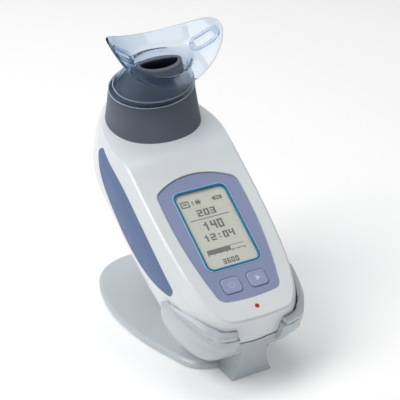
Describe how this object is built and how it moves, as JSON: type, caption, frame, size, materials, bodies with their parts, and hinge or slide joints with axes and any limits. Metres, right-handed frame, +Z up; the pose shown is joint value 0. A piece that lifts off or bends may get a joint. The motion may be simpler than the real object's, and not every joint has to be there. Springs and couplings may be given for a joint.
{
  "type": "inspiratory muscle trainer",
  "caption": "Handheld breathing trainer with clear flanged mouthpiece, sloping valve head, display and keys, leaning in a leaf-based charging cradle.",
  "frame": {"origin": "middle of the object's outline on the surface that the cradle stands on", "axes": "+Z up; +Y to the back, towards the leaf-shaped end of the base; +X to the right of someone facing the display; the object is symmetric about X = 0"},
  "size_m": [0.0792, 0.1492, 0.1607],
  "materials": {
    "white_shell": "satin moulded housing",
    "grip_blue": "soft matt over-moulding",
    "panel_lavender": "satin",
    "rim_blue": "gloss",
    "clear_window": "clear",
    "lcd_glass": "greenish display",
    "key_lavender": "satin",
    "silicone_grey": "matt",
    "steel": "plain",
    "board_green": "solder mask",
    "chip_black": "matt",
    "light_red": "clear tinted",
    "cell_jacket": "shrink jacket",
    "inner_black": "matt",
    "inner_grey": "matt",
    "contact_gold": "plated",
    "slate_shell": "fine satin",
    "clear_mouth": "clear, light blue",
    "cradle_white": "satin moulded",
    "foot_rubber": "matt"
  },
  "bodies": {
    "cradle": {"cradle_shell": "cradle_white", "base_cover": "cradle_white", "rubber_feet": "foot_rubber", "base_screws": "steel", "cradle_board": "board_green", "contact_block": "inner_black", "power_inlet": "inner_black"},
    "left_pin": {"left_charge_pin": "contact_gold"},
    "right_pin": {"right_charge_pin": "contact_gold"},
    "power_button": {"power_key": "key_lavender"},
    "select_button": {"select_key": "key_lavender"},
    "throttle": {"resistance_flap": "inner_grey"},
    "head": {"valve_head": "slate_shell", "valve_plate": "slate_shell"},
    "inhale_leaf": {"inhale_flap": "silicone_grey"},
    "exhale_leaf": {"exhale_flap": "silicone_grey"},
    "mouth": {"mouthpiece": "clear_mouth"},
    "handset": {"front_cover": "white_shell", "rear_cover": "white_shell", "left_grip": "grip_blue", "right_grip": "grip_blue", "display_surround": "panel_lavender", "display_bezel": "rim_blue", "display_window": "clear_window", "lcd_module": "lcd_glass", "key_mat": "silicone_grey", "dome_switches": "steel", "main_board": "board_green", "control_chips": "chip_black", "sounder": "chip_black", "pressure_sensor": "chip_black", "charge_light": "light_red", "battery_cells": "cell_jacket", "battery_tray": "inner_black", "air_duct": "inner_grey", "valve_motor": "steel", "head_seat": "inner_grey", "seat_gasket": "silicone_grey", "charge_contacts": "contact_gold", "case_screws": "steel"}
  },
  "joints": [
    {"name": "handset_lift", "type": "slide", "parent": "cradle", "child": "handset", "axis": [0, 0.8358, 0.549], "range_m": [0, 0.05]},
    {"name": "left_pin_press", "type": "slide", "parent": "cradle", "child": "left_pin", "axis": [0, 0, 1], "range_m": [-0.0008, 0], "stiffness_N_per_m": 200, "springref_m": 0.0008},
    {"name": "right_pin_press", "type": "slide", "parent": "cradle", "child": "right_pin", "axis": [0, 0, 1], "range_m": [-0.0008, 0], "stiffness_N_per_m": 200, "springref_m": 0.0008},
    {"name": "power_press", "type": "slide", "parent": "handset", "child": "power_button", "axis": [0, 0.549, -0.8358], "range_m": [0, 0.0006], "stiffness_N_per_m": 600, "springref_m": -0.0003},
    {"name": "select_press", "type": "slide", "parent": "handset", "child": "select_button", "axis": [0, 0.549, -0.8358], "range_m": [0, 0.0006], "stiffness_N_per_m": 600, "springref_m": -0.0003},
    {"name": "throttle_turn", "type": "hinge", "parent": "handset", "child": "throttle", "pos_m": [0, 0.04749, 0.08941], "axis": [0, 0.8358, 0.549], "range_deg": [0, 90]},
    {"name": "head_pull", "type": "slide", "parent": "handset", "child": "head", "axis": [0, -0.549, 0.8358], "range_m": [0, 0.05]},
    {"name": "mouth_pull", "type": "slide", "parent": "head", "child": "mouth", "axis": [0, -0.549, 0.8358], "range_m": [0, 0.045]},
    {"name": "inhale_swing", "type": "hinge", "parent": "head", "child": "inhale_leaf", "pos_m": [0, 0.02846, 0.10273], "axis": [1, 0, 0], "range_deg": [0, 25], "stiffness_Nm_per_rad": 0.0002},
    {"name": "exhale_swing", "type": "hinge", "parent": "head", "child": "exhale_leaf", "pos_m": [0, 0.05478, 0.1295], "axis": [1, 0, 0], "range_deg": [0, 35], "stiffness_Nm_per_rad": 0.0002}
  ]
}
